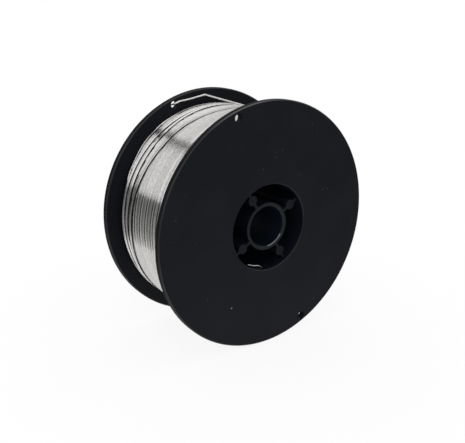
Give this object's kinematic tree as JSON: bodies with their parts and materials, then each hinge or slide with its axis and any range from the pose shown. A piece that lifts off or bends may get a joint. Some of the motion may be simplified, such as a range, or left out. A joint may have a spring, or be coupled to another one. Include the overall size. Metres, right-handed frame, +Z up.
{
  "type": "welding wire spool",
  "caption": "Small moulded spool with ribbed hub, through bore and wide flanges, fully wound with bright steel welding wire whose end is hooked through a flange hole.",
  "frame": {"origin": "on the floor, below the middle of the spool, which stands on its two rims", "axes": "+Z up, +Y along the spool's axis from the front flange to the rear one"},
  "size_m": [0.1, 0.045, 0.1],
  "materials": {
    "black_plastic": "fine moulded matte, slightly glossy on the edges",
    "steel_wire": "bright drawn wire in fine turns"
  },
  "bodies": {
    "root": {"front_spool_half": "black_plastic", "rear_spool_half": "black_plastic", "welding_wire": "steel_wire"}
  },
  "joints": []
}
